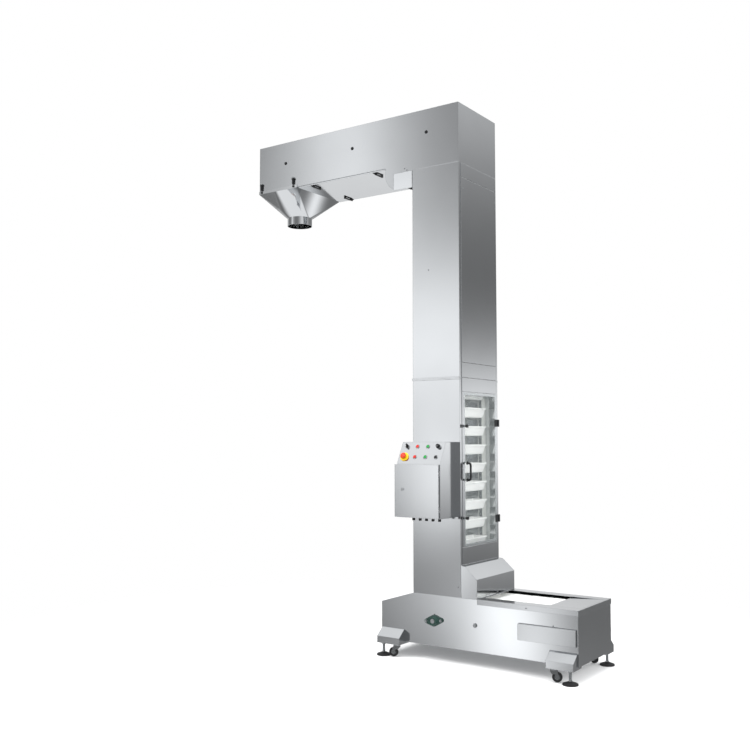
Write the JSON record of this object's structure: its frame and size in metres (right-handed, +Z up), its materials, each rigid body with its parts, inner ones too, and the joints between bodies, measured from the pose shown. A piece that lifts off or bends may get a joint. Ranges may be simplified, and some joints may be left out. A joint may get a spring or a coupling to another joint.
{
  "type": "bucket elevator",
  "caption": "C-shaped bucket elevator: low infeed base, tall column with a clear inspection door, head beam with a discharge funnel, and an endless chain of hanging buckets.",
  "frame": {"origin": "on the floor, in the middle of the footprint of the whole machine", "axes": "+X towards the infeed end of the base, +Y from the control box side to the drive side, +Z up"},
  "size_m": [2.619, 0.8472, 3.76],
  "materials": {
    "brushed_steel_housing": "brushed",
    "polished_steel": "polished",
    "bright_ring": "polished",
    "chain_steel": "machined",
    "white_bucket_plastic": "moulded",
    "clear_door": "clear",
    "black_plastic": "moulded",
    "wheel_tyre": "moulded",
    "green_cast_housing": "painted casting",
    "grey_drive_paint": "painted",
    "red_button": "moulded"
  },
  "bodies": {
    "machine": {"base_sides": "brushed_steel_housing", "base_ends": "brushed_steel_housing", "base_floor": "brushed_steel_housing", "infeed_rim": "brushed_steel_housing", "infeed_slide": "polished_steel", "side_covers": "brushed_steel_housing", "feed_hood": "brushed_steel_housing", "foot_brackets": "brushed_steel_housing", "foot_stems": "polished_steel", "foot_pads": "black_plastic", "lower_column": "brushed_steel_housing", "upper_column": "brushed_steel_housing", "upper_cover": "brushed_steel_housing", "cover_strips": "brushed_steel_housing", "window_frame": "brushed_steel_housing", "hinge_seats": "black_plastic", "head_sides": "brushed_steel_housing", "head_top": "brushed_steel_housing", "head_ends": "brushed_steel_housing", "drip_tray": "brushed_steel_housing", "tray_clamps": "black_plastic", "corner_guard": "brushed_steel_housing", "funnel_latches": "black_plastic", "discharge_funnel": "polished_steel", "discharge_spout": "polished_steel", "guide_rails": "chain_steel", "chains": "chain_steel", "infeed_buckets": "white_bucket_plastic", "loop_buckets": "white_bucket_plastic", "sprocket_shafts": "chain_steel", "flange_bearings": "green_cast_housing", "bearing_bolts": "polished_steel", "side_plugs": "chain_steel", "gear_motor": "grey_drive_paint", "control_box": "brushed_steel_housing", "box_hinges": "brushed_steel_housing", "cable_glands": "black_plastic", "panel_controls": "bright_ring"},
    "inspection_door": {"inspection_door": "clear_door", "door_handle": "black_plastic", "door_hinges": "black_plastic"},
    "door_knob_1": {"door_knob_1": "black_plastic"},
    "door_knob_2": {"door_knob_2": "black_plastic"},
    "control_door": {"control_door": "brushed_steel_housing"},
    "stop_button": {"stop_button": "red_button"},
    "mode_selector": {"mode_selector": "black_plastic"},
    "speed_knob": {"speed_knob": "black_plastic"},
    "caster_1": {"caster_fork_1": "polished_steel"},
    "wheel_1": {"caster_wheel_1": "wheel_tyre"},
    "caster_2": {"caster_fork_2": "polished_steel"},
    "wheel_2": {"caster_wheel_2": "wheel_tyre"},
    "caster_3": {"caster_fork_3": "polished_steel"},
    "wheel_3": {"caster_wheel_3": "wheel_tyre"},
    "caster_4": {"caster_fork_4": "polished_steel"},
    "wheel_4": {"caster_wheel_4": "wheel_tyre"}
  },
  "joints": [
    {"name": "inspection_door_hinge", "type": "hinge", "parent": "machine", "child": "inspection_door", "pos_m": [0.5083, 0.29165, 1.2525], "axis": [0, 0, 1], "range_deg": [0, 110]},
    {"name": "door_knob_turn_1", "type": "hinge", "parent": "inspection_door", "child": "door_knob_1", "pos_m": [0.5065, -0.15935, 0.95], "axis": [1, 0, 0], "continuous": true},
    {"name": "door_knob_turn_2", "type": "hinge", "parent": "inspection_door", "child": "door_knob_2", "pos_m": [0.5065, -0.15935, 1.56], "axis": [1, 0, 0], "continuous": true},
    {"name": "control_door_hinge", "type": "hinge", "parent": "machine", "child": "control_door", "pos_m": [0.453, -0.41535, 1.133], "axis": [0, 0, 1], "range_deg": [0, 110]},
    {"name": "stop_button_push", "type": "slide", "parent": "machine", "child": "stop_button", "axis": [0, 0.8844, -0.4668], "range_m": [0, 0.005]},
    {"name": "mode_selector_turn", "type": "hinge", "parent": "machine", "child": "mode_selector", "pos_m": [0.167, -0.34969, 1.42305], "axis": [0, -0.8844, 0.4668], "range_deg": [-45, 45]},
    {"name": "speed_knob_turn", "type": "hinge", "parent": "machine", "child": "speed_knob", "pos_m": [0.41, -0.34969, 1.42305], "axis": [0, -0.8844, 0.4668], "range_deg": [0, 270]},
    {"name": "caster_swivel_1", "type": "hinge", "parent": "machine", "child": "caster_1", "pos_m": [0.0105, -0.24635, 0.086], "axis": [0, 0, 1], "continuous": true},
    {"name": "wheel_spin_1", "type": "hinge", "parent": "caster_1", "child": "wheel_1", "pos_m": [-0.01017, -0.25387, 0.0345], "axis": [0.342, -0.9397, 0], "continuous": true},
    {"name": "caster_swivel_2", "type": "hinge", "parent": "machine", "child": "caster_2", "pos_m": [1.1535, -0.24635, 0.086], "axis": [0, 0, 1], "continuous": true},
    {"name": "wheel_spin_2", "type": "hinge", "parent": "caster_2", "child": "wheel_2", "pos_m": [1.17417, -0.23883, 0.0345], "axis": [-0.342, 0.9397, 0], "continuous": true},
    {"name": "caster_swivel_3", "type": "hinge", "parent": "machine", "child": "caster_3", "pos_m": [1.1535, 0.35165, 0.086], "axis": [0, 0, 1], "continuous": true},
    {"name": "wheel_spin_3", "type": "hinge", "parent": "caster_3", "child": "wheel_3", "pos_m": [1.17475, 0.34596, 0.0345], "axis": [0.2588, 0.9659, 0], "continuous": true},
    {"name": "caster_swivel_4", "type": "hinge", "parent": "machine", "child": "caster_4", "pos_m": [0.0105, 0.35165, 0.086], "axis": [0, 0, 1], "continuous": true},
    {"name": "wheel_spin_4", "type": "hinge", "parent": "caster_4", "child": "wheel_4", "pos_m": [-0.01075, 0.35734, 0.0345], "axis": [-0.2588, -0.9659, 0], "continuous": true}
  ]
}
